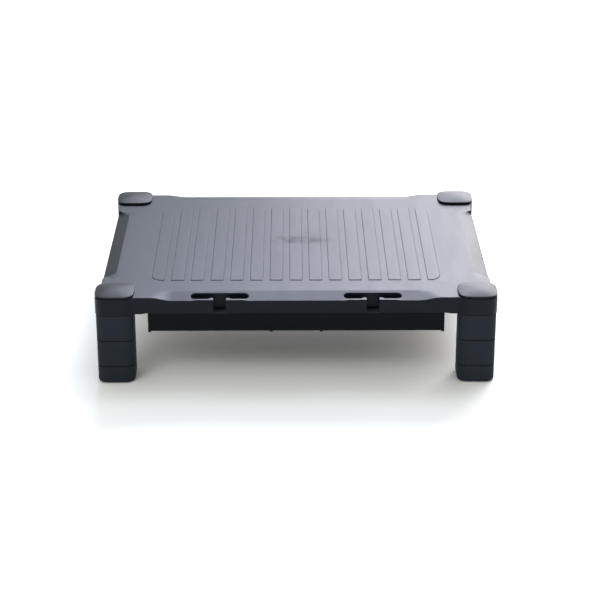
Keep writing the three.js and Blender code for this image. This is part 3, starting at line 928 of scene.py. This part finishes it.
def make_cap(name, cx, cy):
    """A pillow-topped lid with a thin upright rim over a hollow square plug."""
    low, crown = CAP_LOW.z, CAP_HIGH.z
    lid = DECK_TOP + 0.5
    rim = lid + 2.1
    dome_rings = 14
    dome_size = CAP_SIZE - 0.4
    dome_base = rim + 0.12
    size, plug = CAP_SIZE, PLUG_SIZE
    rows = [
        (plug - 5, 8, lid - 0.2),
        (plug - 4, 8, lid - 0.7),
        (plug - 4, 8, low + 0.3),
        (plug - 3.4, 8, low),
        (plug - 1.6, 8, low),
        (plug, 8, low + 1.2),
        (plug, 8, lid - 0.1),
        (plug + 0.4, 7, lid),
        (size - 2.4, 3.8, lid),
        (size - 1.0, 3.6, lid + 0.1),
        (size - 0.3, 3.6, lid + 0.35),
        (size, 3.6, lid + 0.8),
        (size, 3.6, rim - 0.2),
        (size - 0.12, 3.6, rim),
        (dome_size, 3.6, dome_base),
    ]
    for k in range(1, dome_rings):
        scale = 1 - k / dome_rings
        z = dome_base + (crown - dome_base) * (1 - scale**1.8)
        rows.append((scale * dome_size, 2 + 1.6 * scale, z))
    bm = bmesh.new()
    skin(bm, [superellipse(ring, power, z, cx, cy) for ring, power, z in rows])
    return finish_surface(new_object(name, bm), 50)


# ---- Leg modules ---------------------------------------------------------------------------


def outer_wall(low, high, size, radius):
    """Profile rows up an outer wall: a shadow groove at its foot, a rounded top edge."""
    return [
        (size - 2.6, radius - 1.3, low),
        (size - 2.6, radius - 1.3, low + 0.55),
        (size - 0.3, radius - 0.15, low + 0.6),
        (size, radius, low + 0.8),
        (size, radius, high - 0.9),
        (size - 0.15, radius - 0.07, high - 0.5),
        (size - 0.6, radius - 0.3, high - 0.2),
        (size - 1.4, radius - 0.7, high),
    ]


def spigot_rows(shoulder, top):
    """Profile rows of the spigot above a module's shoulder."""
    radius = SOCKET_RADIUS - 0.4
    return [
        (SPIGOT_SIZE + 0.6, radius + 0.3, shoulder),
        (SPIGOT_SIZE, radius, shoulder + 0.4),
        (SPIGOT_SIZE, radius, top - 1.2),
        (SPIGOT_SIZE - 0.5, radius - 0.25, top - 0.4),
        (SPIGOT_SIZE - 1.6, radius - 0.8, top),
    ]


def make_riser(name, cx, cy, low, high):
    """An open-bottomed sleeve whose closed spigot plugs into the socket above."""
    top = high - SPIGOT_HEIGHT
    profile = [
        (SPIGOT_BORE - 0.8, 3.9, high - 2),
        (SPIGOT_BORE, 4.5, high - 2.6),
        (SPIGOT_BORE, 4.5, top - 1.8),
        (SPIGOT_BORE + 0.8, 4.9, top - 2),
        (SOCKET_SIZE - 0.6, 6.2, top - 2),
        (SOCKET_SIZE, SOCKET_RADIUS, top - 2.5),
        (SOCKET_SIZE, SOCKET_RADIUS, low + 1.0),
        (SOCKET_SIZE + 0.8, 6.9, low),
    ]
    profile += outer_wall(low, top, MODULE_SIZE, MODULE_RADIUS)
    profile += spigot_rows(top, high)
    return finish_surface(lofted_square(name, profile, cx, cy), 50)


def make_foot(name, cx, cy, low, high):
    """The closed lowest module, with a rounded foot and a recess for its pad."""
    top = high - SPIGOT_HEIGHT
    size = MODULE_SIZE
    radius = MODULE_RADIUS
    fillet = 2.5
    recess = PAD_HIGH.x - PAD_LOW.x + 2 * GAP
    ceiling = PAD_HIGH.z + GAP
    profile = [
        (recess - 0.5, 4.7, ceiling),
        (recess, 5.0, ceiling - 0.25),
        (recess, 5.0, low + 0.2),
        (recess + 0.4, 5.2, low),
    ]
    steps = 6
    for k in range(steps + 1):
        angle = math.pi / 2 * k / steps
        shrink = fillet * (1 - math.sin(angle))
        z = low + fillet * (1 - math.cos(angle))
        profile.append((size - 2 * shrink, radius - shrink * 0.9, z))
    profile += outer_wall(low, top, size, radius)[4:]
    profile += spigot_rows(top, high)[:-1]
    profile += [
        (SPIGOT_SIZE - 1.4, 5.4, high),
        (SPIGOT_BORE + 0.6, 4.8, high),
        (SPIGOT_BORE, 4.5, high - 0.4),
        (SPIGOT_BORE, 4.5, 5.6),
        (SPIGOT_BORE - 1.2, 3.9, 5.0),
    ]
    return finish_surface(lofted_square(name, profile, cx, cy), 50)


def make_pad(name, cx, cy):
    """A rubber pad with two raised tread rings on its underside."""
    size = PAD_HIGH.x - PAD_LOW.x
    low, high = PAD_LOW.z, PAD_HIGH.z
    profile = [
        (6, 1.5, low + 0.5),
        (10, 2.5, low + 0.5),
        (11, 2.8, low),
        (15, 3.2, low),
        (16, 3.4, low + 0.5),
        (20, 3.8, low + 0.5),
        (21, 4, low),
        (size - 1.4, 4.2, low),
        (size - 0.4, 4.6, low + 0.3),
        (size, 4.7, low + 0.8),
        (size, 4.7, high - 0.3),
        (size - 0.6, 4.4, high),
    ]
    return finish_surface(lofted_square(name, profile, cx, cy, 6), 50)


def make_legs():
    """At each corner, from the top down: a cap, two risers, a foot and its pad."""
    for corner, (sx, sy) in CORNERS.items():
        x, y = sx * LEG_X, sy * LEG_Y
        cap = make_cap(f"cap_{corner}", x, y)
        place(cap, "stand", [f"corner_cap_{corner}"], CAP_PLASTIC)
        for level in ("upper", "lower"):
            node = f"{level}_riser_{corner}"
            low, high = extent(node)
            riser = make_riser(f"riser_{level}_{corner}", x, y, low.z, high.z)
            place(riser, f"{corner}_{level}", [node], RISER_PLASTIC)
        foot = make_foot(f"leg_foot_{corner}", x, y, FOOT_LOW.z, FOOT_HIGH.z)
        place(foot, f"{corner}_foot", [f"foot_{corner}"], RISER_PLASTIC)
        pad = make_pad(f"rubber_pad_{corner}", x, y)
        place(pad, f"{corner}_foot", [f"foot_pad_{corner}"], PAD_RUBBER)


# ---- Drawer, runners and screws ------------------------------------------------------------


def rectangle_ring(x, y0, y1, radius, z, steps=5):
    """A level ring of half width x that runs from y0 to y1."""
    loop = rounded_rectangle(2 * x, y1 - y0, radius, 0, (y0 + y1) / 2, steps)
    return [(px, py, z) for px, py in loop]


def tray_rings():
    """Rings up the outside of the tray, over its rim and down to its floor inside."""
    x, top = TRAY_X, TRAY_TOP
    front, back = TRAY_LOW.y, TRAY_HIGH.y
    face_back = front + FACE_THICKNESS
    inner_x, inner_back = x - TRAY_WALL, back - TRAY_WALL
    return [
        rectangle_ring(x - 1.2, front + 0.5, back - 1.2, 1.5, TRAY_BOTTOM),
        rectangle_ring(x - 0.3, front + 0.5, back - 0.3, 2.0, TRAY_BOTTOM + 0.3),
        rectangle_ring(x, front + 0.5, back, 2.2, TRAY_BOTTOM + 1.0),
        rectangle_ring(x, front + 0.5, back, 2.2, top - 0.4),
        rectangle_ring(x - 0.4, front + 0.6, back - 0.4, 2.0, top),
        rectangle_ring(inner_x + 0.4, face_back - 0.4, inner_back + 0.4, 2.0, top),
        rectangle_ring(inner_x, face_back, inner_back, 2.0, top - 0.4),
        rectangle_ring(inner_x, face_back, inner_back, 2.0, TRAY_FLOOR + 1.5),
        rectangle_ring(inner_x - 0.4, face_back + 0.4, inner_back - 0.4, 1.8, TRAY_FLOOR + 0.4),
        rectangle_ring(inner_x - 1.5, face_back + 1.5, inner_back - 1.5, 1.5, TRAY_FLOOR),
    ]


def tray_additions():
    """Boxes joined to the tray: face, lower band, nubs, shelf, sliding lips and stop ears."""
    front, back = TRAY_LOW.y, TRAY_HIGH.y
    face_y = (front, front + FACE_THICKNESS)
    band_y = (front + 0.8, front + FACE_THICKNESS)
    nub_y = (front + 0.05, front + FACE_THICKNESS)
    lip_y = (front + FACE_THICKNESS - 0.5, back)
    band_x = FACE_X - 0.8
    shelf_x = TRAY_X - 1
    shelf_z = (FACE_HIGH - 2, FACE_HIGH - 0.05)
    parts = [
        bevelled_box("face", (-FACE_X, FACE_X), face_y, (FACE_LOW + 1.5, FACE_HIGH), 0.5),
        bevelled_box("lower_band", (-band_x, band_x), band_y, (FACE_LOW, FACE_LOW + 3), 0.3),
    ]
    nub_z = (FACE_LOW - 1, TRAY_FLOOR)
    for x in NUB_X:
        parts.append(bevelled_box("nub", (x - 1.5, x + 1.5), nub_y, nub_z, 0.4))
    parts.append(bevelled_box("shelf", (-shelf_x, shelf_x), (front + 1, SHELF_BACK), shelf_z, 0.3))
    for side in (-1, 1):
        span = sorted((side * (TRAY_X - 1), side * LIP_X))
        parts.append(bevelled_box("lip", span, lip_y, (TRAY_TOP - 2, TRAY_TOP), 0.3))
        parts.append(bevelled_box("ear", span, EAR_Y, (TRAY_TOP - 1, TRAY_HIGH.z), 0.4))
    return parts


def make_tray():
    """A shallow moulded tray with a wide face, hung by its lips."""
    bm = bmesh.new()
    skin(bm, tray_rings())
    tray = new_object("drawer_moulding", bm)
    combine(tray, tray_additions(), "UNION")
    finish_surface(tray)
    place(tray, "drawer", ["drawer_tray"], DRAWER_PLASTIC)


def make_runner(side_name, side):
    """A hung channel: screwed flange, side wall, ledge and two stop tabs."""
    ledge_low, ledge_high = RUNNER_LOW.z, RUNNER_LOW.z + 2
    flange_low, flange_high = RUNNER_HIGH.z - 2, RUNNER_HIGH.z
    front, back = RUNNER_LOW.y, RUNNER_HIGH.y

    def span(a, b):
        return tuple(sorted((side * a, side * b)))

    whole = (front, back)
    wall_x = span(RUNNER_WALL_X, RUNNER_OUTER_X)
    ledge_x = span(LEDGE_X, RUNNER_OUTER_X)
    flange_x = span(FLANGE_X, RUNNER_OUTER_X)
    stop_x = span(LEDGE_X + 0.4, RUNNER_OUTER_X - 0.4)
    stop_top = flange_high - 0.2
    runner = bevelled_box(f"runner_{side_name}", wall_x, whole, (ledge_low, flange_high), 0.3)
    parts = [
        bevelled_box("ledge", ledge_x, whole, (ledge_low, ledge_high), 0.3),
        bevelled_box("flange", flange_x, whole, (flange_low, flange_high), 0.3),
        bevelled_box("front_stop", stop_x, FRONT_STOP_Y, (FRONT_STOP_BOTTOM, stop_top), 0.3),
        bevelled_box("back_stop", stop_x, (BACK_STOP_FRONT, back), (ledge_low, stop_top), 0.3),
    ]
    combine(runner, parts, "UNION")
    holes = []
    for place_name, (x, y) in screw_places().items():
        if place_name.startswith(side_name):
            holes.append(lathe("hole", [(HOLE_RADIUS, 90), (HOLE_RADIUS, 84)], x, y, 20))
    combine(runner, holes, "DIFFERENCE")
    finish_surface(runner)
    place(runner, "stand", [f"drawer_runner_{side_name}"], RUNNER_PLASTIC)


def make_screws():
    """Pan-head screws with a cross recess."""
    for name, (x, y) in screw_places().items():
        low, high = extent(f"runner_screw_{name}")
        head = low.z + 2
        profile = [
            (1.2, low.z),
            (2.0, low.z + 0.08),
            (2.5, low.z + 0.4),
            (2.75, low.z + 0.9),
            (2.8, head - 0.3),
            (2.6, head),
            (1.3, head),
            (1.15, head + 0.3),
            (1.15, high.z - 1.8),
            (0.9, high.z - 1.2),
            (0.15, high.z),
        ]
        screw = lathe(f"screw_{name}", profile, x, y, 28)
        depth = (low.z - 1, low.z + 1)
        cross = [
            bevelled_box("slot", (x - 1.4, x + 1.4), (y - 0.3, y + 0.3), depth, 0),
            bevelled_box("slot", (x - 0.3, x + 0.3), (y - 1.4, y + 1.4), depth, 0),
        ]
        combine(screw, cross, "DIFFERENCE")
        finish_surface(screw)
        place(screw, "stand", [f"runner_screw_{name}"], SCREW_STEEL)


# ---- Floor, light and camera ---------------------------------------------------------------


def make_floor():
    """A wide sheet of warm white paper."""
    half = 12.0
    bm = bmesh.new()
    corners = ((-half, -half), (half, -half), (half, half), (-half, half))
    bm.faces.new([bm.verts.new((x, y, 0)) for x, y in corners])
    mesh = bpy.data.meshes.new("floor")
    bm.to_mesh(mesh)
    bm.free()
    floor = bpy.data.objects.new("floor", mesh)
    bpy.context.scene.collection.objects.link(floor)
    material = bpy.data.materials.new("paper_floor")
    material.use_nodes = True
    shader = material.node_tree.nodes["Principled BSDF"]
    shader.inputs["Base Color"].default_value = (0.95, 0.94, 0.90, 1)
    shader.inputs["Roughness"].default_value = 0.8
    mesh.materials.append(material)


AIM = (0.0, 0.0, 0.06)
SOFTBOX_DISTANCE = 2.6
WORLD_COLOUR = (1.0, 1.01, 0.99, 1)
WORLD_STRENGTH = 0.72
# Name, azimuth and elevation in degrees, width and height in metres, power in watts, colour.
SOFTBOXES = (
    ("key", 27, 27, (1.3, 0.9), 47, (1.0, 0.97, 0.98)),
    ("back", 2, 39, (1.2, 0.9), 55, (0.86, 0.94, 1.16)),
    ("low_back", 10, 14, (0.9, 0.9), 15, (1.0, 0.96, 1.06)),
    ("top", 48, 60, (1.1, 1.1), 18, (0.85, 0.93, 1.2)),
    ("front_left", -146, 42, (0.9, 0.9), 11, (0.92, 1.0, 1.03)),
)


def add_area_light(name, location, target, size, power, colour):
    """A rectangular softbox that faces a target."""
    data = bpy.data.lights.new(name, "AREA")
    data.shape = "RECTANGLE"
    data.size, data.size_y = size
    data.energy = power
    data.color = colour
    light = bpy.data.objects.new(name, data)
    light.location = location
    direction = Vector(target) - Vector(location)
    light.rotation_euler = direction.to_track_quat("-Z", "Y").to_euler()
    bpy.context.scene.collection.objects.link(light)


def from_bearing(azimuth, elevation, distance):
    """A place seen from the stand: azimuth 0 is straight back and 90 is to the right."""
    a, e = math.radians(azimuth), math.radians(elevation)
    flat = distance * math.cos(e)
    return (flat * math.sin(a), flat * math.cos(a), AIM[2] + distance * math.sin(e))


def make_light():
    """Even white air and five softboxes: four from behind, and a weak one at the front left."""
    world = bpy.data.worlds.new("studio")
    bpy.context.scene.world = world
    world.use_nodes = True
    background = world.node_tree.nodes["Background"]
    background.inputs["Color"].default_value = WORLD_COLOUR
    background.inputs["Strength"].default_value = WORLD_STRENGTH
    for name, azimuth, elevation, size, power, colour in SOFTBOXES:
        location = from_bearing(azimuth, elevation, SOFTBOX_DISTANCE)
        add_area_light(name, location, AIM, size, power, colour)


# The camera's place in metres, and how far it looks down and to the right in degrees.
CAMERA_LOCATION = (-0.0079, -1.9604, 0.8649)
CAMERA_DOWN = 23.14
CAMERA_TURN = 0.38
LENS = 109.65


def make_camera():
    """Above and in front of the stand, a touch to its left, with a long lens."""
    data = bpy.data.cameras.new("camera")
    data.lens = LENS
    data.sensor_width = 36.0
    camera = bpy.data.objects.new("camera", data)
    camera.location = CAMERA_LOCATION
    camera.rotation_euler = (math.radians(90 - CAMERA_DOWN), 0, math.radians(-CAMERA_TURN))
    bpy.context.scene.collection.objects.link(camera)
    bpy.context.scene.camera = camera


make_platform()
make_legs()
make_tray()
make_runner("left", -1)
make_runner("right", 1)
make_screws()
make_floor()
make_light()
make_camera()
bpy.context.scene.view_settings.view_transform = "Standard"
